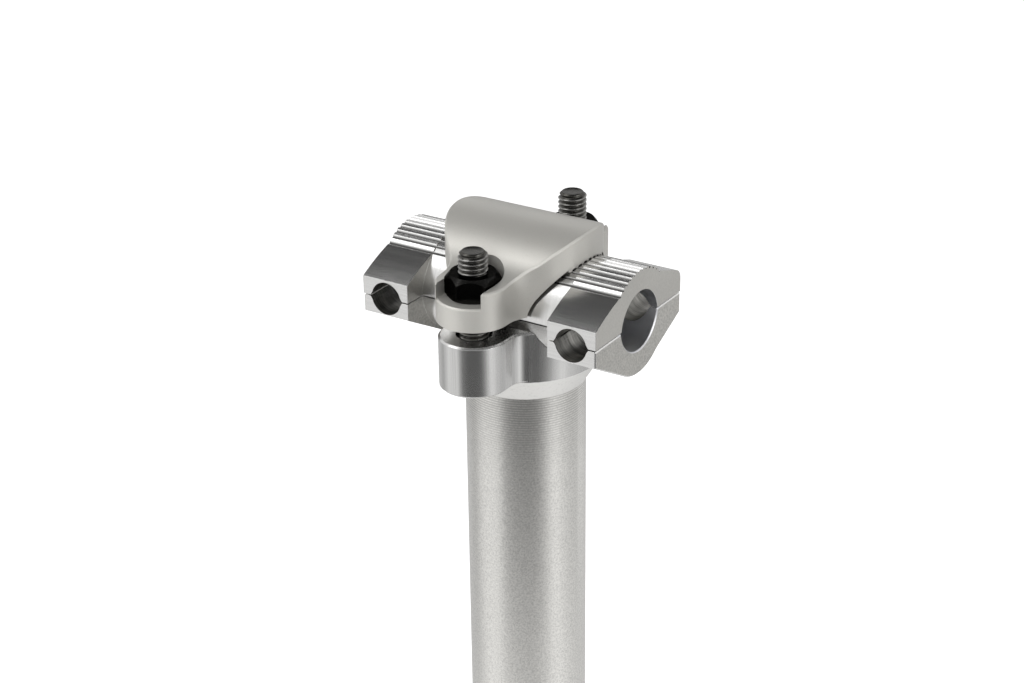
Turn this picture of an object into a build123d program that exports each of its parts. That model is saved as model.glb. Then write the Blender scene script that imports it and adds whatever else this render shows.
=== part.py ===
"""Bicycle seatpost with a two-bolt rail clamp.

The forged post carries a round head with two ears. A cradle across the head holds the lower
clamp half, the saddle rails lie in grooves between the two halves, and a yoke with teeth
underneath presses the upper half down. Two bolts come up through the ears, pass the tongues
of the yoke and end in nuts that sit in milled pockets.

Millimetres. The origin is the middle of the post's lower end, +Z is up the post, X runs
across the two rails and -Y is the front.
"""
import os
from math import acos, atan2, cos, degrees, radians, sin, sqrt, tan

from build123d import *

os.makedirs("parts", exist_ok=True)

# Post: a tube and its head, forged and turned in one piece
post_length = 300.0       # lower end to the middle of the rails
tube_diameter = 25.4
tube_wall = 2.3
turned_end = 18.85        # the turned tube stops this far under the rails
forged_step = 0.25        # the forged shoulder stands this much proud of the turned tube
bore_crown = 6.0          # solid metal between the bore's end and the turned end
bore_point = 59.0         # degrees, half the angle of the bore's conical end
end_chamfer = 0.5

# Head of the post
head_diameter = 32.4
head_top = 2.3            # flat top of the head, below the rails
head_height = 11.05
ear_width = 14.6
ear_fillet = 4.0
head_chamfer = 0.4
head_bottom_chamfer = 0.4
cradle_clearance = 0.05   # between the lower half's barrel and the cradle

# Bolts and nuts, M6
bolt_clearance = 5.6      # the bolts stand this much further apart than the head is wide
bolt_diameter = 6.0
bolt_length = 22.0
bolt_head_diameter = 10.0
bolt_head_height = 6.0
bolt_key = 5.0            # across the flats of the socket
bolt_key_depth = 3.0
bolt_tip_chamfer = 0.8
bolt_head_chamfer = 0.6
ear_hole_diameter = 7.5
counterbore_play = 0.6    # between a bolt head and its counterbore, on the diameter
counterbore_depth = 7.0
nut_flats = 10.0
nut_height = 5.0
nut_play = 0.1            # between the nut and the bolt, on the diameter
nut_turn = -2.4           # degrees, how far each nut sits turned in its pocket
nut_top_diameter = 9.3    # flat top inside the turned cone
nut_top_slope = 50.0      # degrees
nut_foot_slope = 30.0

# Rail clamp
clamp_offset = -1.0       # the clamp's middle, along Y from the post's axis
rail_spacing = 44.0
rail_groove_diameter = 7.1
groove_flare = 0.45       # the groove widens this much at each edge of the split
groove_flare_height = 0.9
split_gap = 0.3
clamp_width = 55.3        # across the rails
clamp_front = 17.3        # noses ahead of the clamp's middle
clamp_rear = 16.9
barrel_diameter = 24.5    # the turned middle part of both halves
barrel_shift = 1.5        # the lower barrel is centred this far above the rails, the upper one below
barrel_width = 33.2
cross_hole_diameter = 14.8
cross_hole_split = 2.0    # the two halves of the cross hole are bored this far apart
edge_break = 0.25         # small chamfer round each end face

# Upper half of the clamp
upper_nose_height = 4.0
upper_slope_rise = 6.0    # height of the front slope, midway up it
upper_slope_reach = 13.2
upper_rear_height = 4.8
upper_rear_fillet = 2.4
tooth_arc_radius = 12.45  # centred with the upper barrel
tooth_count = 12
tooth_pitch = 7.2         # degrees
tooth_depth = 0.45

# Lower half of the clamp
lower_nose_height = 3.7
lower_rear_height = 4.5
lower_belly_radius = 11.6
lower_rear_start = 7.2    # where the rear slope leaves the belly
lower_rear_fillet = 6.0

# Yoke
yoke_crest = 16.9         # heights above the rails
yoke_land = 9.4           # flat over the front tongue
yoke_land_rear = 7.4
yoke_seat = 6.2           # floor of the front pocket
yoke_seat_rear = 4.6
yoke_bottom = 1.2
tongue_width = 15.2
tongue_fillet = 7.0
crest_radius = 18.0
hollow_radius = 12.4      # between the crest and each land
pocket_width = 10.6
pocket_reach = 1.6        # the pocket's round end is centred this far behind the bolt
yoke_hole_diameter = 6.6
yoke_arch_gap = 0.55      # between the yoke's smooth arch and the tips of the clamp's teeth
yoke_tooth_count = 8      # fewer than on the clamp, so that the yoke can rock
yoke_tooth_gap = 0.12
yoke_chamfer = 0.35

# Worked out from the above
bolt_spacing = head_diameter + bolt_clearance
tube_radius = tube_diameter / 2
bore_radius = tube_radius - tube_wall
barrel_radius = barrel_diameter / 2
yoke_diameter = head_diameter
rail_z = post_length
turned_end_z = rail_z - turned_end
head_top_z = rail_z - head_top
head_bottom_z = head_top_z - head_height
shoulder_radius = tube_radius + forged_step
bore_top_z = turned_end_z - bore_crown
bolt_seat_z = head_bottom_z + counterbore_depth
nut_seat_z = rail_z + yoke_seat
nut_seat_rear_z = rail_z + yoke_seat_rear
bolt_y = bolt_spacing / 2
half_gap = split_gap / 2
lower_rear_z = -sqrt(lower_belly_radius**2 - lower_rear_start**2)
nose_distance = sqrt(clamp_front**2 + lower_nose_height**2)
touch_angle = atan2(lower_nose_height, clamp_front) + acos(lower_belly_radius / nose_distance)
belly_touch = (-lower_belly_radius * cos(touch_angle), -lower_belly_radius * sin(touch_angle))
groove_radius = rail_groove_diameter / 2
flare_inner = sqrt(groove_radius**2 - groove_flare_height**2)
tooth_half_width = degrees(tooth_depth / tooth_arc_radius)
tooth_end = radians((yoke_tooth_count - 1) / 2 * tooth_pitch + tooth_half_width)
tooth_reach = (tooth_arc_radius + yoke_tooth_gap) * sin(tooth_end)
crest_centre = yoke_crest - crest_radius
crest_reach = crest_radius + hollow_radius
yoke_arch_radius = tooth_arc_radius + yoke_arch_gap
nut_corner = nut_flats / 2 / cos(radians(30))
nut_top_cone = (nut_corner - nut_top_diameter / 2) * tan(radians(nut_top_slope))
nut_foot_cone = (nut_corner - nut_flats / 2) * tan(radians(nut_foot_slope))

# Side views, with Y to the right and Z up, and the front view of the clamp
clamp_section = Plane(origin=(0, clamp_offset, rail_z), x_dir=(0, 1, 0), z_dir=(1, 0, 0))
clamp_front_view = Plane(origin=(0, clamp_offset, rail_z), x_dir=(1, 0, 0), z_dir=(0, -1, 0))
post_section = Plane(origin=(0, 0, rail_z), x_dir=(0, 1, 0), z_dir=(1, 0, 0))


def tooth_points(count, gap=0.0):
    """Corners of the toothed arc from front to rear, moved outward by gap."""
    points = []
    for i in range(count):
        middle = (i - (count - 1) / 2) * tooth_pitch
        for turn, depth in ((-tooth_half_width, 0), (0, tooth_depth), (tooth_half_width, 0)):
            angle = radians(middle + turn)
            reach = tooth_arc_radius - depth + gap
            points.append((reach * sin(angle), reach * cos(angle) - barrel_shift))
    return points


def barrel_turning(shift):
    """The ring that turning takes off the noses, round an axis shifted from the rails' plane."""
    with BuildPart(mode=Mode.PRIVATE) as ring:
        with BuildSketch(clamp_front_view):
            with Locations((0, shift + barrel_radius)):
                Rectangle(barrel_width, clamp_front + clamp_rear, align=(Align.CENTER, Align.MIN))
        revolve(axis=Axis((0, clamp_offset, rail_z + shift), (1, 0, 0)))
    return ring.part


def clamp_bores(side):
    """Both rail grooves and the cross hole; side is 1 for the lower half, -1 for the upper."""
    with BuildPart(mode=Mode.PRIVATE) as bores:
        with BuildSketch(clamp_front_view):
            with Locations((-rail_spacing / 2, 0), (rail_spacing / 2, 0)):
                Circle(groove_radius)
                Polygon(
                    (groove_radius + groove_flare, 0),
                    (flare_inner, groove_flare_height),
                    (-flare_inner, groove_flare_height),
                    (-groove_radius - groove_flare, 0),
                    (-flare_inner, -groove_flare_height),
                    (flare_inner, -groove_flare_height),
                )
        extrude(amount=clamp_front + clamp_rear, both=True)
        with BuildSketch(clamp_section):
            with Locations((0, side * cross_hole_split / 2)):
                Circle(cross_hole_diameter / 2)
        extrude(amount=clamp_width, both=True)
    return bores.part


def crown_points(land):
    """Where the crest meets the hollow, and where the hollow meets the land of this height."""
    hollow_rise = land + hollow_radius - crest_centre
    land_start = sqrt(crest_reach**2 - hollow_rise**2)
    share = crest_radius / crest_reach
    return (land_start * share, crest_centre + hollow_rise * share), (land_start, land)


def head_outline(diameter, width, fillet_radius):
    """Plan of the head and of the yoke: a disc with two round ears."""
    Circle(diameter / 2)
    SlotCenterToCenter(bolt_spacing, width, rotation=90)
    inner = vertices().filter_by_position(Axis.Y, -bolt_y + 1, bolt_y - 1)
    fillet(inner, fillet_radius)


# Post
with BuildPart() as post:
    with BuildSketch(Plane.XY.offset(head_bottom_z)):
        head_outline(head_diameter, ear_width, ear_fillet)
    extrude(amount=head_height)
    chamfer(faces().sort_by(Axis.Z)[-1].edges(), head_chamfer)
    chamfer(faces().sort_by(Axis.Z)[0].edges(), head_bottom_chamfer)

    with BuildSketch(Plane.XZ):
        with BuildLine():
            Polyline(
                (0, bore_top_z),
                (0, head_bottom_z + head_bottom_chamfer),
                (head_diameter / 2, head_bottom_z + head_bottom_chamfer),
                (head_diameter / 2, head_bottom_z),
                (shoulder_radius, turned_end_z + forged_step),
                (tube_radius, turned_end_z),
                (tube_radius, end_chamfer),
                (tube_radius - end_chamfer, 0),
                (bore_radius + end_chamfer, 0),
                (bore_radius, end_chamfer),
                (bore_radius, bore_top_z - bore_radius / tan(radians(bore_point))),
                close=True,
            )
        make_face()
    revolve(axis=Axis.Z)

    with BuildSketch(clamp_section):
        with Locations((0, barrel_shift)):
            Circle(barrel_radius + cradle_clearance)
    extrude(amount=head_diameter, both=True, mode=Mode.SUBTRACT)

    with BuildSketch(Plane.XY.offset(head_bottom_z)):
        with Locations((0, -bolt_y), (0, bolt_y)):
            Circle((bolt_head_diameter + counterbore_play) / 2)
    extrude(amount=counterbore_depth, mode=Mode.SUBTRACT)
    with BuildSketch(Plane.XY.offset(bolt_seat_z)):
        with Locations((0, -bolt_y), (0, bolt_y)):
            Circle(ear_hole_diameter / 2)
    extrude(amount=head_height, mode=Mode.SUBTRACT)
post.part.label = "post"

# Lower half of the rail clamp
with BuildPart() as rail_clamp_lower:
    with BuildSketch(clamp_section):
        with BuildLine():
            Polyline(
                (lower_rear_start, lower_rear_z),
                (clamp_rear, -lower_rear_height),
                (clamp_rear, -half_gap),
                (-clamp_front, -half_gap),
                (-clamp_front, -lower_nose_height),
                belly_touch,
            )
            ThreePointArc(belly_touch, (0, -lower_belly_radius), (lower_rear_start, lower_rear_z))
        make_face()
        fillet(vertices().sort_by_distance((lower_rear_start, lower_rear_z))[0], lower_rear_fillet)
    extrude(amount=clamp_width / 2, both=True)
    add(barrel_turning(barrel_shift), mode=Mode.SUBTRACT)
    with BuildSketch(clamp_section):
        with Locations((0, barrel_shift)):
            Circle(barrel_radius)
        with Locations((0, -half_gap)):
            Rectangle(
                barrel_diameter,
                barrel_diameter,
                align=(Align.CENTER, Align.MIN),
                mode=Mode.SUBTRACT,
            )
    extrude(amount=barrel_width / 2, both=True)
    add(clamp_bores(1), mode=Mode.SUBTRACT)
    chamfer(faces().filter_by(Axis.X).sort_by(Axis.X)[0].outer_wire().edges(), edge_break)
    chamfer(faces().filter_by(Axis.X).sort_by(Axis.X)[-1].outer_wire().edges(), edge_break)
rail_clamp_lower.part.label = "rail_clamp_lower"

# Upper half of the rail clamp
with BuildPart() as rail_clamp_upper:
    with BuildSketch(clamp_section):
        with BuildLine():
            teeth = Polyline(*tooth_points(tooth_count))
            Polyline(
                teeth @ 1,
                (clamp_rear, upper_rear_height),
                (clamp_rear, half_gap),
                (-clamp_front, half_gap),
                (-clamp_front, upper_nose_height),
            )
            ThreePointArc(
                (-clamp_front, upper_nose_height),
                (-upper_slope_reach, upper_slope_rise),
                teeth @ 0,
            )
        make_face()
        fillet(vertices().sort_by_distance((clamp_rear, upper_rear_height))[0], upper_rear_fillet)
    extrude(amount=clamp_width / 2, both=True)
    add(barrel_turning(-barrel_shift), mode=Mode.SUBTRACT)
    add(clamp_bores(-1), mode=Mode.SUBTRACT)
rail_clamp_upper.part.label = "rail_clamp_upper"

# Yoke
with BuildPart() as yoke:
    with BuildSketch(Plane.XY.offset(rail_z + yoke_bottom)):
        head_outline(yoke_diameter, tongue_width, tongue_fillet)
    extrude(amount=yoke_crest - yoke_bottom)

    # Side view of the crown, its two hollows and the lands over the tongues
    front_touch, front_land = [(-y, z) for y, z in crown_points(yoke_land)]
    rear_touch, rear_land = crown_points(yoke_land_rear)
    with BuildSketch(post_section):
        with BuildLine():
            Polyline(
                front_land,
                (-bolt_spacing, yoke_land),
                (-bolt_spacing, 0),
                (bolt_spacing, 0),
                (bolt_spacing, yoke_land_rear),
                rear_land,
            )
            RadiusArc(rear_land, rear_touch, hollow_radius)
            RadiusArc(rear_touch, front_touch, -crest_radius)
            RadiusArc(front_touch, front_land, hollow_radius)
        make_face()
    extrude(amount=yoke_diameter, both=True, mode=Mode.INTERSECT)
    crown = faces().filter_by(lambda face: face.center().Z > nut_seat_z and face.normal_at().Z > 0.5)
    chamfer(crown.edges().filter_by(lambda edge: abs(edge.tangent_at(0.5).X) < 0.999), yoke_chamfer)

    # Pockets for the nuts, open at the tongues' ends, and the bolt holes below them
    for side, seat_z in ((-1, nut_seat_z), (1, nut_seat_rear_z)):
        with BuildSketch(Plane.XY.offset(seat_z)):
            with Locations((0, side * (bolt_y - pocket_reach))):
                Circle(pocket_width / 2)
            with Locations((0, side * (bolt_y - pocket_reach + tongue_width))):
                Rectangle(pocket_width, 2 * tongue_width)
        extrude(amount=yoke_crest, mode=Mode.SUBTRACT)
        rim = edges().filter_by(GeomType.CIRCLE).filter_by_position(Axis.Z, seat_z - 0.01, seat_z + 0.01)
        chamfer(rim.sort_by(Axis.Y)[0 if side < 0 else -1], yoke_chamfer)
    with BuildSketch(Plane.XY.offset(rail_z)):
        with Locations((0, -bolt_y), (0, bolt_y)):
            Circle(yoke_hole_diameter / 2)
    extrude(amount=yoke_crest, mode=Mode.SUBTRACT)

    # Underside: smooth over the barrel, with teeth in the middle
    with BuildSketch(clamp_section):
        with Locations((0, -barrel_shift)):
            Circle(yoke_arch_radius)
        with Locations((0, yoke_arch_radius)):
            Rectangle(2 * tooth_reach, 2 * yoke_arch_radius, mode=Mode.SUBTRACT)
        with BuildLine():
            teeth = Polyline(*tooth_points(yoke_tooth_count, yoke_tooth_gap))
            Polyline(teeth @ 1, (tooth_reach, 0), (-tooth_reach, 0), teeth @ 0)
        make_face()
    extrude(amount=yoke_diameter, both=True, mode=Mode.SUBTRACT)
yoke.part.label = "yoke"

# Bolts: socket heads below, chamfered tips above
with BuildPart() as bolt_front:
    with BuildSketch(Plane.XY.offset(bolt_seat_z)):
        with Locations((0, -bolt_y)):
            Circle(bolt_diameter / 2)
    extrude(amount=bolt_length)
    chamfer(edges().sort_by(Axis.Z)[-1], bolt_tip_chamfer)
    with BuildSketch(Plane.XY.offset(bolt_seat_z)):
        with Locations((0, -bolt_y)):
            Circle(bolt_head_diameter / 2)
    extrude(amount=-bolt_head_height)
    chamfer(edges().sort_by(Axis.Z)[0], bolt_head_chamfer)
    with BuildSketch(Plane.XY.offset(bolt_seat_z - bolt_head_height)):
        with Locations((0, -bolt_y)):
            RegularPolygon(bolt_key / 2, 6, major_radius=False)
    extrude(amount=bolt_key_depth, mode=Mode.SUBTRACT)
bolt_front.part.label = "bolt_front"

with BuildPart() as bolt_rear:
    with Locations((0, bolt_spacing, 0)):
        add(bolt_front.part)
bolt_rear.part.label = "bolt_rear"

# Nuts, chamfered at both ends by the turned cone
with BuildPart() as nut_front:
    with BuildSketch(Plane.XY.offset(nut_seat_z)):
        with Locations((0, -bolt_y)):
            RegularPolygon(nut_flats / 2, 6, major_radius=False, rotation=90 + nut_turn)
    extrude(amount=nut_height)
    with BuildSketch(Plane(origin=(0, -bolt_y, nut_seat_z), x_dir=(1, 0, 0), z_dir=(0, -1, 0))):
        with BuildLine():
            Polyline(
                (0, 0),
                (nut_flats / 2, 0),
                (nut_corner, nut_foot_cone),
                (nut_corner, nut_height - nut_top_cone),
                (nut_top_diameter / 2, nut_height),
                (0, nut_height),
                close=True,
            )
        make_face()
    revolve(axis=Axis((0, -bolt_y, 0), (0, 0, 1)), mode=Mode.INTERSECT)
    with BuildSketch(Plane.XY.offset(nut_seat_z)):
        with Locations((0, -bolt_y)):
            Circle((bolt_diameter + nut_play) / 2)
    extrude(amount=nut_height, mode=Mode.SUBTRACT)
nut_front.part.label = "nut_front"

with BuildPart() as nut_rear:
    with Locations((0, bolt_spacing, nut_seat_rear_z - nut_seat_z)):
        add(nut_front.part)
nut_rear.part.label = "nut_rear"

pieces = (
    post,
    rail_clamp_lower,
    rail_clamp_upper,
    yoke,
    bolt_front,
    bolt_rear,
    nut_front,
    nut_rear,
)
for piece in pieces:
    export_step(piece.part, f"parts/{piece.part.label}.step")
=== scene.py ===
"""Bicycle seatpost: metal finishes, cut bolt threads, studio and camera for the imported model.

Metres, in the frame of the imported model: +Z is up the post, X runs across the rails and -Y is
the front. Finishes and bolts are worked out in millimetres.
"""
from math import cos, pi, radians, sin, tau

import bmesh
import bpy
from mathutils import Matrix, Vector


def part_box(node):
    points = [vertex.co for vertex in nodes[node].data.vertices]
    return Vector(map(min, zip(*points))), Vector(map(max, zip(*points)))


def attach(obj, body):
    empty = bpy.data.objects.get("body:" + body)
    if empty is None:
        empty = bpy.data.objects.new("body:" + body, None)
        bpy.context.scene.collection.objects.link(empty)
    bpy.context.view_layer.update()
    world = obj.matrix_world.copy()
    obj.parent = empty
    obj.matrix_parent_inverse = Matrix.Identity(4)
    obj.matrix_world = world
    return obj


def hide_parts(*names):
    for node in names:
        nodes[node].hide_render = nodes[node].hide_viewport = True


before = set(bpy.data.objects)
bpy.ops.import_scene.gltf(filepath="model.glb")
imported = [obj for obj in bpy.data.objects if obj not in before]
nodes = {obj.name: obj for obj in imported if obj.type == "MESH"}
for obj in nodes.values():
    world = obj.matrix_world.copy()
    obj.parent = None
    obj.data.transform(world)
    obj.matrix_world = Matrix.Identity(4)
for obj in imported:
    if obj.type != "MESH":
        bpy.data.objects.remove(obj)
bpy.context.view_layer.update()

MM = 0.001

# Places and sizes on the object, in millimetres
RAIL_HEIGHT = 300.0
RAIL_X = 22.0
TUBE_TOP = 281.15
HEAD_BOTTOM = 286.65
CLAMP_MIDDLE_Y = -1.0
GROOVE_RADIUS = 4.1
CROSS_HOLE_RADIUS = 7.45
CROSS_HOLE_MARGIN = 1.0
BARREL_HALF_WIDTH = 16.62
BOLT_Y = 19.0
EDGE_ROUNDING = 0.14

# Teeth: how far below the rails they are centred, their radius, and their start above the rails
TOOTH_CENTRE_DROP = 1.5
TOOTH_RADIUS = 12.45
TEETH_START = 7.6

# Turned rings on the tube: faint up to the first height and full from the second
RING_PITCH = 0.55
RINGS_FAINT = 263.0
RINGS_FULL = TUBE_TOP - 2

# Thread of the bolts, M6
THREAD_PITCH = 1.0
THREAD_RADIUS = 3.0
THREAD_ROOT_RADIUS = 2.39
THREAD_COLUMNS = 72
# Share of a pitch above the crest, and how far out the flank is there, from 0 to 1
THREAD_FORM = (
    (0.05, 1.0),
    (0.09, 0.94),
    (0.36, 0.08),
    (0.43, 0.0),
    (0.57, 0.0),
    (0.64, 0.08),
    (0.91, 0.94),
    (0.95, 1.0),
)
# The same with the crest that it starts and ends on
THREAD_TURN = ((-0.05, 1.0),) + THREAD_FORM + ((1.05, 1.0),)

# Tip of the bolts: rings of its dish by radius and drop below the rim
BOLT_TIP_CHAMFER = 0.8
TIP_DISH = (
    (THREAD_RADIUS - BOLT_TIP_CHAMFER, 0.0),
    (1.95, 0.03),
    (1.6, 0.12),
    (0.8, 0.16),
)
TIP_DISH_DEPTH = 0.17

# Head of the bolts
HEAD_COLUMNS = 96
BOLT_HEAD_HEIGHT = 6.0
BOLT_HEAD_RADIUS = 5.0
HEAD_FACE_RADIUS = 4.7
HEAD_TOP_EDGE = 0.3
HEAD_LOWER_EDGE = 0.6
HEAD_PLAIN_BAND = 1.0
KNURL_DEPTH = 0.12
KNURL_RUNOUT = 0.2
SOCKET_RADIUS = 2.5
SOCKET_EDGE = 0.2
SOCKET_DEPTH = 3.0
SOCKET_POINT = 1.0
SOCKET_SIDE_TURN = pi / 3

# Joining the points of a bolt, in metres, and the angle of its sharp edges, in degrees
MERGE_DISTANCE = 2e-7
LEAST_EDGE = 1e-7
SHARP_EDGE = 35

# Degrees from the front to the camera's side of the post, which the studio is laid out by
CAMERA_AZIMUTH = 32.77
# Grey of the painted reflection sweep, by degrees to the right of the camera's side, from the foot
# to the rim
SWEEP_FOOT_LEVELS = ((-180, 0.75), (-110, 1.1), (0, 1.3), (110, 1.1), (180, 0.75))
SWEEP_NEAR_LEVELS = (
    (-180, 0.62),
    (-134, 0.66),
    (-112, 0.66),
    (-95, 0.90),
    (-75, 1.12),
    (-50, 1.0),
    (0, 0.78),
    (45, 0.92),
    (60, 1.05),
    (90, 0.85),
    (125, 0.68),
    (180, 0.62),
)
SWEEP_FAR_LEVELS = (
    (-180, 0.66),
    (-134, 0.66),
    (-117, 0.45),
    (-103, 0.75),
    (-86, 1.0),
    (-78, 0.90),
    (-70, 0.84),
    (-62, 0.88),
    (-54, 0.80),
    (-46, 0.30),
    (-38, 0.05),
    (20, 0.03),
    (32, 0.30),
    (45, 0.85),
    (56, 1.10),
    (66, 0.72),
    (80, 0.64),
    (100, 0.54),
    (125, 0.90),
    (150, 0.66),
    (180, 0.66),
)
SWEEP_RIM_LEVELS = (
    (-180, 0.50),
    (-120, 0.65),
    (-95, 1.0),
    (-50, 1.0),
    (-34, 0.40),
    (-20, 0.12),
    (15, 0.10),
    (32, 0.50),
    (50, 1.0),
    (110, 0.90),
    (140, 0.65),
    (180, 0.50),
)
# Rings of the painted reflection sweep: distance from the post, height and greys
SWEEP_LIFT = 0.004
SWEEP_RINGS = (
    (0.014, SWEEP_LIFT, SWEEP_FOOT_LEVELS),
    (0.34, SWEEP_LIFT, SWEEP_NEAR_LEVELS),
    (0.48, SWEEP_LIFT, SWEEP_FAR_LEVELS),
    (0.7, SWEEP_LIFT, SWEEP_FAR_LEVELS),
    (0.95, SWEEP_LIFT, SWEEP_RIM_LEVELS),
    (1.25, 0.6, SWEEP_RIM_LEVELS),
)
SWEEP_STEPS = 120
# Painted dark reflection over the post: height, radius, shift back from the camera's side, grey
# and steps of its sheet
CEILING_HEIGHT = 1.1
CEILING_RADIUS = 0.9
CEILING_BACK = 0.35
CEILING_LEVEL = 0.08
CEILING_STEPS = 48

# Strength of the white room as a light, and as the camera and the metal see it
ROOM_LIGHT = 0.45
ROOM_SEEN = 1.0
# The floor glows for the camera beyond its shadow: distances from the post, and the strength
FLOOR_REACH = 4.0
SHADOW_REACH = 0.12
GLOW_START = 0.28
FLOOR_GLOW = 0.6
LAMP_TARGET = (0.0, 0.0, 0.29)


def read_table(table, place):
    """Reads a table of (place, value) pairs in rising order, straight between them."""
    for (start, first), (end, second) in zip(table, table[1:]):
        if place <= end:
            return first + (second - first) * (place - start) / (end - start)
    return table[-1][1]


def add_object(name, data):
    """Puts a mesh or a lamp into the scene."""
    thing = bpy.data.objects.new(name, data)
    bpy.context.scene.collection.objects.link(thing)
    return thing


# Meshes of the bolts

def point_beside(axis, angle, reach, height):
    """A point at an angle and a distance from a bolt's axis, in metres."""
    return Vector((axis[0] + reach * cos(angle), axis[1] + reach * sin(angle), height)) * MM


def bolt_ring(axis, height, reaches):
    """A ring of points round a bolt's axis, each at its own distance from it."""
    return [
        point_beside(axis, tau * i / len(reaches), reach, height)
        for i, reach in enumerate(reaches)
    ]


def add_rings(mesh, rings, centre):
    """Joins rings of points with quads, round and round, and closes the last to one point."""
    made = [[mesh.verts.new(point) for point in ring] for ring in rings]
    for lower, upper in zip(made, made[1:]):
        for i in range(len(lower)):
            j = (i + 1) % len(lower)
            mesh.faces.new((lower[i], lower[j], upper[j], upper[i]))
    last = made[-1]
    middle = mesh.verts.new(Vector(centre) * MM)
    for i in range(len(last)):
        mesh.faces.new((last[i], last[(i + 1) % len(last)], middle))


def add_thread(mesh, axis, bottom, top):
    """A helical thread from bottom to top, its rows following the helix, with a dished tip."""
    form_rows = len(THREAD_FORM)
    rows = (int((top - bottom) / THREAD_PITCH) + 3) * form_rows
    thread_depth = THREAD_RADIUS - THREAD_ROOT_RADIUS
    columns = []
    for i in range(THREAD_COLUMNS):
        share = i / THREAD_COLUMNS
        column = []
        for row in range(rows):
            turn = row // form_rows - 1
            height = bottom + THREAD_PITCH * (turn + THREAD_FORM[row % form_rows][0] + share)
            height = min(max(height, bottom), top)
            phase = ((height - bottom) / THREAD_PITCH - share) % 1.0
            out = THREAD_ROOT_RADIUS + thread_depth * read_table(THREAD_TURN, phase)
            radius = min(out, THREAD_RADIUS - BOLT_TIP_CHAMFER + top - height)
            column.append(mesh.verts.new(point_beside(axis, share * tau, radius, height)))
        columns.append(column)
    for i in range(THREAD_COLUMNS):
        wraps = i == THREAD_COLUMNS - 1
        beside = columns[0] if wraps else columns[i + 1]
        shift = form_rows if wraps else 0
        for row in range(rows - 1 - shift):
            corners = (
                columns[i][row],
                beside[row + shift],
                beside[row + 1 + shift],
                columns[i][row + 1],
            )
            mesh.faces.new(corners)
    rings = [
        bolt_ring(axis, top - drop, [radius] * THREAD_COLUMNS) for radius, drop in TIP_DISH
    ]
    add_rings(mesh, rings, (*axis, top - TIP_DISH_DEPTH))


def add_bolt_head(mesh, axis, seat):
    """A knurled socket head that hangs below its seat."""
    bottom = seat - BOLT_HEAD_HEIGHT

    def round_ring(height, radius):
        return bolt_ring(axis, height, [radius] * HEAD_COLUMNS)

    def knurled_ring(height):
        ridge_and_groove = [BOLT_HEAD_RADIUS, BOLT_HEAD_RADIUS - KNURL_DEPTH]
        return bolt_ring(axis, height, ridge_and_groove * (HEAD_COLUMNS // 2))

    def socket_ring(height, radius):
        reaches = []
        for i in range(HEAD_COLUMNS):
            angle = tau * i / HEAD_COLUMNS
            half_side = SOCKET_SIDE_TURN / 2
            from_flat = (angle + half_side) % SOCKET_SIDE_TURN - half_side
            reaches.append(radius / cos(from_flat))
        return bolt_ring(axis, height, reaches)

    rings = [
        round_ring(seat, THREAD_ROOT_RADIUS),
        round_ring(seat, HEAD_FACE_RADIUS),
        round_ring(seat - HEAD_TOP_EDGE, BOLT_HEAD_RADIUS),
        knurled_ring(seat - HEAD_TOP_EDGE - KNURL_RUNOUT),
        knurled_ring(bottom + HEAD_PLAIN_BAND + KNURL_RUNOUT),
        round_ring(bottom + HEAD_PLAIN_BAND, BOLT_HEAD_RADIUS),
        round_ring(bottom + HEAD_LOWER_EDGE, BOLT_HEAD_RADIUS),
        round_ring(bottom, BOLT_HEAD_RADIUS - HEAD_LOWER_EDGE),
        socket_ring(bottom, SOCKET_RADIUS + SOCKET_EDGE),
        socket_ring(bottom + SOCKET_EDGE, SOCKET_RADIUS),
        socket_ring(bottom + SOCKET_DEPTH, SOCKET_RADIUS),
    ]
    add_rings(mesh, rings, (*axis, bottom + SOCKET_DEPTH + SOCKET_POINT))


def make_bolt(name, node):
    """The bolt with its thread cut, in the place of the plain CAD bolt."""
    low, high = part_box(node)
    axis = ((low.x + high.x) / 2 / MM, (low.y + high.y) / 2 / MM)
    top = high.z / MM
    seat = low.z / MM + BOLT_HEAD_HEIGHT
    mesh = bmesh.new()
    add_thread(mesh, axis, seat, top)
    add_bolt_head(mesh, axis, seat)
    bmesh.ops.remove_doubles(mesh, verts=mesh.verts, dist=MERGE_DISTANCE)
    bmesh.ops.dissolve_degenerate(mesh, edges=mesh.edges, dist=LEAST_EDGE)
    bmesh.ops.recalc_face_normals(mesh, faces=mesh.faces)
    data = bpy.data.meshes.new(name)
    mesh.to_mesh(data)
    mesh.free()
    data.shade_smooth()
    data.set_sharp_from_angle(angle=radians(SHARP_EDGE))
    bolt = add_object(name, data)
    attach(bolt, "root")
    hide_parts(node)
    return bolt


# Node helpers

def add_node(tree, kind, values=None, **settings):
    """Adds a node, sets its properties and gives its inputs values or links."""
    node = tree.nodes.new(kind)
    for name, value in settings.items():
        setattr(node, name, value)
    for name, value in (values or {}).items():
        socket = node.inputs[name]
        if isinstance(value, bpy.types.NodeSocket):
            tree.links.new(value, socket)
        else:
            socket.default_value = value
    return node


def calculate(tree, operation, first, second=0.0):
    """One sum with one or two numbers or sockets."""
    inputs = {0: first, 1: second}
    return add_node(tree, "ShaderNodeMath", inputs, operation=operation).outputs[0]


def multiplied(tree, first, *others):
    """Numbers or sockets multiplied together."""
    for value in others:
        first = calculate(tree, "MULTIPLY", first, value)
    return first


def added(tree, first, *others):
    """Numbers or sockets added up."""
    for value in others:
        first = calculate(tree, "ADD", first, value)
    return first


def without_sign(tree, value):
    """The size of a number, whatever its sign."""
    return calculate(tree, "ABSOLUTE", value)


def length_of(tree, vector):
    """The length of a vector."""
    return add_node(
        tree, "ShaderNodeVectorMath", {0: vector}, operation="LENGTH"
    ).outputs["Value"]


def from_axis(tree, aside, above):
    """How far a place is from an axis, by its distances to the side of it and above it."""
    offset = add_node(tree, "ShaderNodeCombineXYZ", {"X": aside, "Y": above}).outputs[0]
    return length_of(tree, offset)


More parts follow.
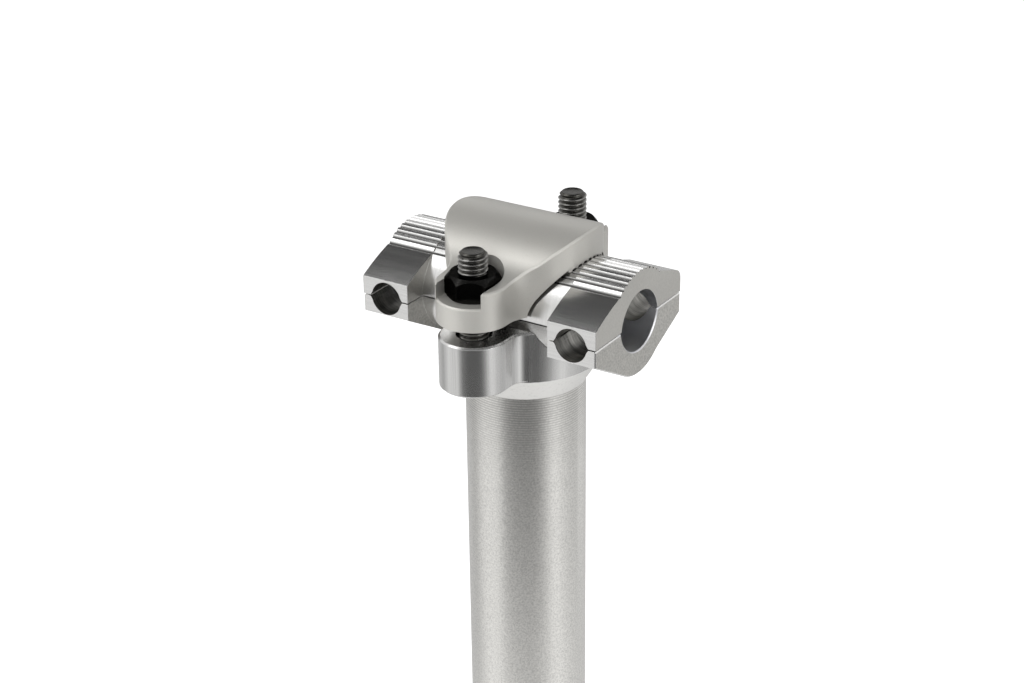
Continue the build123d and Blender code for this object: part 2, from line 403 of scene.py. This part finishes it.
def split_vector(tree, vector):
    """The X, Y and Z of a vector."""
    return add_node(tree, "ShaderNodeSeparateXYZ", {0: vector}).outputs


def ramp_between(tree, value, start, end, low=0.0, high=1.0):
    """Turns a value that goes from start to end into one that goes from low to high."""
    return add_node(
        tree,
        "ShaderNodeMapRange",
        {"Value": value, "From Min": start, "From Max": end, "To Min": low, "To Max": high},
    ).outputs["Result"]


def blend_colours(tree, share, first, second):
    """Mixes two colours by a share."""
    inputs = {"Factor": share, 6: first, 7: second}
    return add_node(tree, "ShaderNodeMix", inputs, data_type="RGBA").outputs[2]


def blend_values(tree, share, first, second):
    """Mixes two numbers by a share."""
    inputs = {"Factor": share, 2: first, 3: second}
    return add_node(tree, "ShaderNodeMix", inputs, data_type="FLOAT").outputs[0]


def add_noise(tree, place, scale, values, **settings):
    """Noise at a place, from 0 to 1."""
    inputs = {"Vector": place, "Scale": scale, **values}
    return add_node(tree, "ShaderNodeTexNoise", inputs, **settings).outputs["Fac"]


def grey(level, warmth=0.0):
    """A grey of one level, with less blue in it where warmth is above 0."""
    return (level, level * (1 - warmth / 4), level * (1 - warmth), 1.0)


def new_group(name, inputs, outputs):
    """A shader node group with its inputs' start values, and the sockets at its two ends."""
    tree = bpy.data.node_groups.new(name, "ShaderNodeTree")
    for label, value in inputs.items():
        kind = "NodeSocketVector" if isinstance(value, tuple) else "NodeSocketFloat"
        socket = tree.interface.new_socket(name=label, in_out="INPUT", socket_type=kind)
        socket.default_value = value
    for label in outputs:
        tree.interface.new_socket(name=label, in_out="OUTPUT", socket_type="NodeSocketFloat")
    given = tree.nodes.new("NodeGroupInput").outputs
    made = tree.nodes.new("NodeGroupOutput").inputs
    return tree, given, made


def use_group(tree, group, values):
    """Places a group in a material with its own values."""
    return add_node(tree, "ShaderNodeGroup", values, node_tree=group).outputs


def make_tool_lines():
    """Fine lines left by a tool: noise drawn out along the directions with few lines."""
    tree, given, made = new_group(
        "Tool lines",
        {"Position": (0, 0, 0), "Lines per mm": (1, 1, 1), "Seed": 0.0},
        ["Height", "Shade"],
    )
    drawn = add_node(
        tree,
        "ShaderNodeVectorMath",
        {0: given["Position"], 1: given["Lines per mm"]},
        operation="MULTIPLY",
    ).outputs[0]
    seed = given["Seed"]
    fine_values = {"W": seed, "Detail": 3.0, "Roughness": 0.6}
    fine = add_noise(tree, drawn, 1.0, fine_values, noise_dimensions="4D")
    broad_values = {"W": seed, "Detail": 2.0}
    broad = add_noise(tree, drawn, 0.23, broad_values, noise_dimensions="4D")
    both = added(tree, multiplied(tree, fine, 0.6), multiplied(tree, broad, 0.4))
    tree.links.new(fine, made["Height"])
    tree.links.new(ramp_between(tree, both, 0.32, 0.68), made["Shade"])
    return tree


def make_blast_grain():
    """The even fine grain of a bead-blasted skin, with a few deeper specks."""
    tree, given, made = new_group(
        "Blast grain",
        {"Position": (0, 0, 0), "Grains per mm": 4.0},
        ["Height", "Specks"],
    )
    place = given["Position"]
    grains = given["Grains per mm"]
    fine = add_noise(tree, place, grains, {"Detail": 4.0, "Roughness": 0.65})
    specks = add_noise(tree, place, multiplied(tree, grains, 0.6), {"Detail": 2.0})
    tree.links.new(fine, made["Height"])
    tree.links.new(ramp_between(tree, specks, 0.56, 0.72), made["Specks"])
    return tree


def make_handling_marks():
    """Soft smudges from handling, from 0 to 1."""
    tree, given, made = new_group(
        "Handling marks",
        {"Position": (0, 0, 0), "Size in mm": 20.0},
        ["Smudge"],
    )
    scale = calculate(tree, "DIVIDE", 1.0, given["Size in mm"])
    smudge = add_noise(tree, given["Position"], scale, {"Detail": 3.0, "Distortion": 0.4})
    tree.links.new(ramp_between(tree, smudge, 0.3, 0.7), made["Smudge"])
    return tree


tool_lines = make_tool_lines()
blast_grain = make_blast_grain()
handling_marks = make_handling_marks()


# Finishes

def new_material(name):
    """An empty material, with its nodes and the socket that its surface is linked to."""
    material = bpy.data.materials.new(name)
    material.use_nodes = True
    tree = material.node_tree
    tree.nodes.clear()
    return material, tree, tree.nodes.new("ShaderNodeOutputMaterial").inputs["Surface"]


def new_finish(name, metallic=1.0):
    """A material with its shader, and the place on the part in millimetres."""
    material, tree, surface = new_material(name)
    shader = add_node(tree, "ShaderNodeBsdfPrincipled", {"Metallic": metallic})
    tree.links.new(shader.outputs["BSDF"], surface)
    coordinates = tree.nodes.new("ShaderNodeTexCoord")
    position = add_node(
        tree,
        "ShaderNodeVectorMath",
        {0: coordinates.outputs["Object"], "Scale": 1 / MM},
        operation="SCALE",
    ).outputs[0]
    return material, tree, shader, position


def draw_out_gloss(tree, shader, axis, amount, turn):
    """Stretches the gloss round an axis of the part, or across that with a quarter turn."""
    tangent = add_node(tree, "ShaderNodeTangent", direction_type="RADIAL", axis=axis)
    tree.links.new(tangent.outputs[0], shader.inputs["Tangent"])
    shader.inputs["Anisotropic"].default_value = amount
    shader.inputs["Anisotropic Rotation"].default_value = turn


def feed(tree, shader, colour, roughness, height, depth):
    """Links colour, roughness and a bump of a depth in millimetres to the shader."""
    tree.links.new(colour, shader.inputs["Base Color"])
    tree.links.new(roughness, shader.inputs["Roughness"])
    edges = {"Radius": EDGE_ROUNDING * MM}
    rounded = add_node(tree, "ShaderNodeBevel", edges, samples=6).outputs[0]
    bump = add_node(
        tree,
        "ShaderNodeBump",
        {"Height": height, "Distance": depth * MM, "Strength": 1.0, "Normal": rounded},
    )
    tree.links.new(bump.outputs["Normal"], shader.inputs["Normal"])


def make_yoke_finish():
    """Bead-blasted and clear anodised, with an even soft sheen."""
    blasted = grey(0.52, warmth=0.08)
    pitted = grey(0.49, warmth=0.08)
    handled = grey(0.47, warmth=0.08)
    material, tree, shader, position = new_finish("Blasted aluminium", metallic=0.65)
    grain = use_group(tree, blast_grain, {"Position": position, "Grains per mm": 5.0})
    marks = use_group(tree, handling_marks, {"Position": position, "Size in mm": 14.0})
    colour = blend_colours(tree, grain["Specks"], blasted, pitted)
    colour = blend_colours(tree, multiplied(tree, marks["Smudge"], 0.25), colour, handled)
    roughness = ramp_between(tree, marks["Smudge"], 0.0, 1.0, 0.38, 0.44)
    feed(tree, shader, colour, roughness, grain["Height"], depth=0.012)
    return material


def make_post_finish():
    """Turned tube, blasted shoulder and polished head, each in its own zone by height."""
    tube_pale = grey(0.79, warmth=0.05)
    ring_dark = grey(0.36, warmth=0.05)
    tube_speckle = grey(0.48, warmth=0.05)
    tube_roughness = 0.30
    shoulder_pale = grey(0.77, warmth=0.03)
    shoulder_pitted = grey(0.60, warmth=0.03)
    shoulder_roughness = 0.5
    head_pale = grey(0.66, warmth=0.02)
    head_streaked = grey(0.56, warmth=0.02)
    head_roughness = 0.21

    material, tree, shader, position = new_finish("Turned and polished aluminium")
    draw_out_gloss(tree, shader, axis="Z", amount=0.35, turn=0.25)
    height_up = split_vector(tree, position)["Z"]
    on_head = ramp_between(tree, height_up, HEAD_BOTTOM - 0.05, HEAD_BOTTOM + 0.05)
    on_tube = ramp_between(tree, height_up, TUBE_TOP + 0.15, TUBE_TOP - 0.05)
    rings_show = ramp_between(tree, height_up, RINGS_FAINT, RINGS_FULL, low=0.04)
    passes = use_group(tree, tool_lines, {"Position": position, "Lines per mm": (0.01, 0.01, 2.4)})
    streaks = use_group(tree, tool_lines, {"Position": position, "Lines per mm": (5.0, 5.0, 0.04)})
    grain = use_group(tree, blast_grain, {"Position": position, "Grains per mm": 2.6})
    marks = use_group(tree, handling_marks, {"Position": position, "Size in mm": 25.0})
    smudge = multiplied(tree, marks["Smudge"], 0.04)

    wander = multiplied(tree, grain["Height"], 0.9)
    ring_phase = added(tree, multiplied(tree, height_up, tau / RING_PITCH), wander)
    groove = ramp_between(tree, calculate(tree, "SINE", ring_phase), -1.0, 1.0)
    evenness = ramp_between(tree, passes["Shade"], 0.0, 1.0, 0.55, 1.0)
    ring_shade = multiplied(tree, groove, evenness, rings_show)

    tube_colour = blend_colours(tree, ring_shade, tube_pale, ring_dark)
    speckle = ramp_between(tree, grain["Height"], 0.38, 0.66, high=0.75)
    tube_colour = blend_colours(tree, speckle, tube_colour, tube_speckle)
    pits = multiplied(tree, grain["Specks"], 0.4)
    shoulder_colour = blend_colours(tree, pits, shoulder_pale, shoulder_pitted)
    head_colour = blend_colours(tree, streaks["Shade"], head_pale, head_streaked)
    colour = blend_colours(tree, on_tube, shoulder_colour, tube_colour)
    colour = blend_colours(tree, on_head, colour, head_colour)

    from_rings = added(tree, multiplied(tree, ring_shade, 0.08), tube_roughness, smudge)
    from_streaks = multiplied(tree, streaks["Shade"], 0.06)
    from_streaks = added(tree, from_streaks, head_roughness, smudge)
    roughness = blend_values(tree, on_tube, shoulder_roughness, from_rings)
    roughness = blend_values(tree, on_head, roughness, from_streaks)

    grain_height = multiplied(tree, grain["Height"], 0.5)
    tube_height = added(tree, multiplied(tree, ring_shade, -0.35), grain_height)
    height = blend_values(tree, on_tube, grain_height, tube_height)
    height = blend_values(tree, on_head, height, multiplied(tree, streaks["Height"], 0.05))
    feed(tree, shader, colour, roughness, height, depth=0.02)
    return material


def make_clamp_finish():
    """Machined bar: lines along X outside, round the bores inside, matte sawn end faces, painted
    shade in the tooth roots and rail grooves and a painted highlight on the teeth.
    """
    milled_pale = grey(0.75, warmth=0.02)
    milled_dark = grey(0.65, warmth=0.02)
    painted_tooth_highlight = grey(0.88, warmth=0.01)
    painted_root_shade = grey(0.09, warmth=0.06)
    cross_hole_pale = grey(0.70, warmth=-0.03)
    groove_shade_pale = grey(0.48, warmth=0.08)
    groove_shade_dark = grey(0.09, warmth=0.08)
    sawn_upper = grey(0.50, warmth=0.07)
    sawn_lower = grey(0.53, warmth=0.07)
    sawn_speckle = grey(0.26, warmth=0.06)
    sawn_roughness = 0.45

    material, tree, shader, position = new_finish("Machined aluminium")
    draw_out_gloss(tree, shader, axis="X", amount=0.3, turn=0.0)
    place = split_vector(tree, position)
    facing = split_vector(tree, tree.nodes.new("ShaderNodeNewGeometry").outputs["Normal"])
    from_middle = without_sign(tree, place["X"])
    behind = calculate(tree, "SUBTRACT", place["Y"], CLAMP_MIDDLE_Y)
    above = calculate(tree, "SUBTRACT", place["Z"], RAIL_HEIGHT)
    on_lower = ramp_between(tree, above, 0.0, -0.1)
    on_end = ramp_between(tree, without_sign(tree, facing["X"]), 0.93, 0.98)

    # Bores and barrel
    hole_reach = CROSS_HOLE_RADIUS + CROSS_HOLE_MARGIN
    from_cross_hole = from_axis(tree, behind, above)
    in_cross_hole = ramp_between(tree, from_cross_hole, hole_reach + 0.1, hole_reach)
    beside_rail = calculate(tree, "SUBTRACT", from_middle, RAIL_X)
    from_rail = from_axis(tree, beside_rail, above)
    near_rail = ramp_between(tree, from_rail, GROOVE_RADIUS, GROOVE_RADIUS - 0.05)
    on_wall = ramp_between(tree, without_sign(tree, facing["Y"]), 0.6, 0.4)
    in_groove = multiplied(tree, near_rail, on_wall)
    in_bore = calculate(tree, "MAXIMUM", in_cross_hole, in_groove)
    on_barrel = ramp_between(
        tree, from_middle, BARREL_HALF_WIDTH + 0.02, BARREL_HALF_WIDTH - 0.02
    )
    turned = calculate(tree, "MAXIMUM", in_cross_hole, on_barrel)

    # Teeth, between the circles of their roots and their crests, with a painted highlight on them
    # and painted shade in their roots
    from_centre = from_axis(tree, behind, added(tree, above, TOOTH_CENTRE_DROP))
    on_top = ramp_between(tree, above, TEETH_START, TEETH_START + 0.1)
    past_roots = ramp_between(tree, from_centre, TOOTH_RADIUS - 0.6, TOOTH_RADIUS - 0.55)
    below_crests = ramp_between(tree, from_centre, TOOTH_RADIUS - 0.06, TOOTH_RADIUS - 0.34)
    within_crests = ramp_between(tree, from_centre, TOOTH_RADIUS + 0.1, TOOTH_RADIUS + 0.05)
    in_root = multiplied(tree, below_crests, past_roots, on_top)
    on_teeth = multiplied(tree, past_roots, within_crests, on_top)

    flat_lines = use_group(
        tree, tool_lines, {"Position": position, "Lines per mm": (0.03, 3.0, 3.0)}
    )
    turned_lines = use_group(
        tree, tool_lines, {"Position": position, "Lines per mm": (6.0, 0.1, 0.1)}
    )
    groove_lines = use_group(
        tree, tool_lines, {"Position": position, "Lines per mm": (0.2, 2.2, 0.2)}
    )
    coarse = use_group(tree, blast_grain, {"Position": position, "Grains per mm": 2.2})
    marks = use_group(tree, handling_marks, {"Position": position, "Size in mm": 12.0})

    def lines_here(name):
        """The tool lines of the surface that a place is on."""
        chosen = blend_values(tree, turned, flat_lines[name], turned_lines[name])
        return blend_values(tree, in_groove, chosen, groove_lines[name])

    line_shade = lines_here("Shade")
    colour = blend_colours(tree, line_shade, milled_pale, milled_dark)
    # Painted highlight: the teeth are lightened to stand in for light off their flanks
    colour = blend_colours(tree, on_teeth, colour, painted_tooth_highlight)
    # Painted shade: the roots between the teeth are darkened as recesses
    colour = blend_colours(tree, multiplied(tree, in_root, 0.95), colour, painted_root_shade)
    colour = blend_colours(tree, in_cross_hole, colour, cross_hole_pale)
    # Painted shade: the rail groove is darkened as a recess, streaked along its tool lines
    painted_groove_shade = blend_colours(tree, line_shade, groove_shade_pale, groove_shade_dark)
    colour = blend_colours(tree, in_groove, colour, painted_groove_shade)
    end_share = ramp_between(tree, on_lower, 0.0, 1.0, 0.2, 0.6)
    end_speckle = ramp_between(tree, coarse["Height"], 0.38, 0.64)
    end_speckle = multiplied(tree, end_speckle, end_share)
    end_colour = blend_colours(tree, on_lower, sawn_upper, sawn_lower)
    end_colour = blend_colours(tree, end_speckle, end_colour, sawn_speckle)
    colour = blend_colours(tree, on_end, colour, end_colour)

    roughness = added(
        tree,
        ramp_between(tree, line_shade, 0.0, 1.0, 0.16, 0.24),
        multiplied(tree, marks["Smudge"], 0.03),
        multiplied(tree, in_bore, 0.2),
    )
    roughness = blend_values(tree, on_end, roughness, sawn_roughness)

    line_height = multiplied(tree, lines_here("Height"), 0.05)
    end_coarseness = ramp_between(tree, on_lower, 0.0, 1.0, 1.0, 5.0)
    end_height = multiplied(tree, coarse["Height"], end_coarseness)
    height = blend_values(tree, on_end, line_height, end_height)
    feed(tree, shader, colour, roughness, height, depth=0.008)
    return material


def make_black_finish(name, level, crest_highlight_level, rim_level, least_roughness):
    """Black oxide on steel, a little brown, with a painted highlight on the crests of the thread.
    """
    oxide = grey(level, warmth=0.08)
    handled = grey(level * 1.7, warmth=0.12)
    painted_crest_highlight = grey(crest_highlight_level, warmth=0.05)
    worn_through = grey(level * 3.5, warmth=0.1)
    material, tree, shader, position = new_finish(name)
    shader.inputs["Specular Tint"].default_value = grey(rim_level)
    grain = use_group(tree, blast_grain, {"Position": position, "Grains per mm": 5.0})
    marks = use_group(tree, handling_marks, {"Position": position, "Size in mm": 3.0})
    smudge = marks["Smudge"]
    place = split_vector(tree, position)
    past_bolt = calculate(tree, "SUBTRACT", without_sign(tree, place["Y"]), BOLT_Y)
    from_bolt = from_axis(tree, place["X"], past_bolt)
    on_crest = ramp_between(tree, from_bolt, THREAD_RADIUS - 0.35, THREAD_RADIUS - 0.05)
    colour = blend_colours(tree, smudge, oxide, handled)
    # Painted highlight: the thread crests are lightened to stand in for glints on them
    colour = blend_colours(tree, on_crest, colour, painted_crest_highlight)
    colour = blend_colours(tree, multiplied(tree, grain["Specks"], 0.5), colour, worn_through)
    roughness = ramp_between(tree, smudge, 0.0, 1.0, least_roughness, least_roughness + 0.1)
    feed(tree, shader, colour, roughness, grain["Height"], depth=0.004)
    return material


yoke_finish = make_yoke_finish()
post_finish = make_post_finish()
clamp_finish = make_clamp_finish()
nut_finish = make_black_finish(
    "Black oxide nuts", level=0.014, crest_highlight_level=0.014, rim_level=0.45, least_roughness=0.16
)
bolt_finish = make_black_finish(
    "Black oxide bolts", level=0.055, crest_highlight_level=0.34, rim_level=0.8, least_roughness=0.24
)
for node_name, finish in (
    ("post", post_finish),
    ("rail_clamp_lower", clamp_finish),
    ("rail_clamp_upper", clamp_finish),
    ("yoke", yoke_finish),
    ("nut_front", nut_finish),
    ("nut_rear", nut_finish),
):
    nodes[node_name].data.materials.clear()
    nodes[node_name].data.materials.append(finish)
for piece_name, node_name in (
    ("threaded_bolt_front", "bolt_front"),
    ("threaded_bolt_rear", "bolt_rear"),
):
    make_bolt(piece_name, node_name).data.materials.append(bolt_finish)


# Studio

def seen_rays(tree):
    """1 for camera, glossy and transmission rays, 0 for the rest."""
    path = tree.nodes.new("ShaderNodeLightPath").outputs
    seen = calculate(tree, "MAXIMUM", path["Is Camera Ray"], path["Is Glossy Ray"])
    return calculate(tree, "MAXIMUM", seen, path["Is Transmission Ray"])


def make_world():
    """A room that is white to the eye and dimmer as a light."""
    world = bpy.data.worlds.new("Studio")
    bpy.context.scene.world = world
    world.use_nodes = True
    tree = world.node_tree
    tree.nodes.clear()
    strength = ramp_between(tree, seen_rays(tree), 0.0, 1.0, ROOM_LIGHT, ROOM_SEEN)
    walls = {"Color": grey(1.0), "Strength": strength}
    background = add_node(tree, "ShaderNodeBackground", walls)
    output = tree.nodes.new("ShaderNodeOutputWorld")
    tree.links.new(background.outputs[0], output.inputs["Surface"])


def make_floor():
    """White paper whose glow stays off round the foot, so the post's shadow shows there."""
    floor_mesh = bpy.data.meshes.new("studio_floor")
    corners = [
        (-FLOOR_REACH, -FLOOR_REACH, 0),
        (FLOOR_REACH, -FLOOR_REACH, 0),
        (FLOOR_REACH, FLOOR_REACH, 0),
        (-FLOOR_REACH, FLOOR_REACH, 0),
    ]
    floor_mesh.from_pydata(corners, [], [(0, 1, 2, 3)])
    floor = add_object("studio_floor", floor_mesh)
    material, tree, surface = new_material("White paper")
    from_post = length_of(tree, tree.nodes.new("ShaderNodeTexCoord").outputs["Object"])
    glow_level = ramp_between(tree, from_post, SHADOW_REACH, GLOW_START, high=FLOOR_GLOW)
    strength = multiplied(tree, seen_rays(tree), glow_level)
    paper = add_node(tree, "ShaderNodeBsdfDiffuse", {"Color": grey(0.9)})
    glow = add_node(tree, "ShaderNodeEmission", {"Color": grey(1.0), "Strength": strength})
    both = add_node(tree, "ShaderNodeAddShader", {0: paper.outputs[0], 1: glow.outputs[0]})
    tree.links.new(both.outputs[0], surface)
    floor_mesh.materials.append(material)


def make_reflection_sheet(name, points, faces, levels):
    """A sheet that shows only in reflections, its grey given at each point."""
    sheet_mesh = bpy.data.meshes.new(name)
    sheet_mesh.from_pydata(points, [], faces)
    shade = sheet_mesh.attributes.new("shade", "FLOAT", "POINT")
    shade.data.foreach_set("value", levels)
    sheet = add_object(name, sheet_mesh)
    material, tree, surface = new_material(name)
    level = add_node(tree, "ShaderNodeAttribute", attribute_name="shade").outputs["Fac"]
    reflection_glow = add_node(tree, "ShaderNodeEmission", {"Color": grey(1.0), "Strength": level})
    tree.links.new(reflection_glow.outputs[0], surface)
    sheet_mesh.materials.append(material)
    sheet.visible_camera = False
    sheet.visible_diffuse = False
    sheet.visible_shadow = False


def make_sweep():
    """A glowing sheet round the post that only reflections show, a painted reflection of a sweep:
    pale beside it, dark behind the camera.
    """
    rows = len(SWEEP_RINGS)
    points = []
    levels = []
    faces = []
    for i in range(SWEEP_STEPS):
        aside = -180 + 360 * i / SWEEP_STEPS
        turn = radians(CAMERA_AZIMUTH + aside)
        for radius, height, table in SWEEP_RINGS:
            points.append((radius * sin(turn), -radius * cos(turn), height))
            levels.append(read_table(table, aside))
        here = i * rows
        beside = (i + 1) % SWEEP_STEPS * rows
        for j in range(rows - 1):
            faces.append((here + j, beside + j, beside + j + 1, here + j + 1))
    make_reflection_sheet("painted_reflection_sweep", points, faces, levels)


def make_ceiling():
    """A dim sheet over the post and behind it that only reflections show: a painted dark
    reflection of a ceiling.
    """
    turn = radians(CAMERA_AZIMUTH)
    middle_x = -CEILING_BACK * sin(turn)
    middle_y = CEILING_BACK * cos(turn)
    points = [(middle_x, middle_y, CEILING_HEIGHT)]
    faces = []
    for i in range(CEILING_STEPS):
        angle = tau * i / CEILING_STEPS
        x = middle_x + CEILING_RADIUS * cos(angle)
        y = middle_y + CEILING_RADIUS * sin(angle)
        points.append((x, y, CEILING_HEIGHT))
        faces.append((0, i + 1, (i + 1) % CEILING_STEPS + 1))
    make_reflection_sheet("painted_dark_reflection", points, faces, [CEILING_LEVEL] * len(points))


def make_softbox(name, place, width, height, watts, mirrored=True):
    """A flat lamp that faces the head; one not mirrored lights only what scatters light."""
    light = bpy.data.lights.new(name, "AREA")
    light.shape = "RECTANGLE"
    light.size = width
    light.size_y = height
    light.energy = watts
    lamp = add_object(name, light)
    lamp.location = place
    lamp.visible_glossy = mirrored
    facing = Vector(LAMP_TARGET) - lamp.location
    lamp.rotation_euler = facing.to_track_quat("-Z", "Y").to_euler()


make_world()
make_floor()
make_sweep()
make_ceiling()
make_softbox(
    "softbox_left", (-0.6, -0.67, 0.93), width=0.5, height=0.8, watts=2.6, mirrored=False
)
make_softbox("softbox_top", (-0.43, -0.26, 0.98), width=0.42, height=0.42, watts=1.15)
make_softbox(
    "softbox_front", (0.12, -0.66, 0.62), width=0.35, height=0.35, watts=5.6, mirrored=False
)
make_softbox("softbox_right", (0.95, -0.1, 0.6), width=0.5, height=0.8, watts=2.0)

# Camera at the photograph's place
camera_data = bpy.data.cameras.new("camera")
camera_data.sensor_width = 36.0
camera_data.lens = 74.15
camera = bpy.data.objects.new("camera", camera_data)
bpy.context.scene.collection.objects.link(camera)
camera.location = (0.21336, -0.33666, 0.47336)
camera.rotation_euler = (radians(65.107), radians(0.662), radians(32.458))
bpy.context.scene.camera = camera
bpy.context.scene.view_settings.view_transform = "Standard"
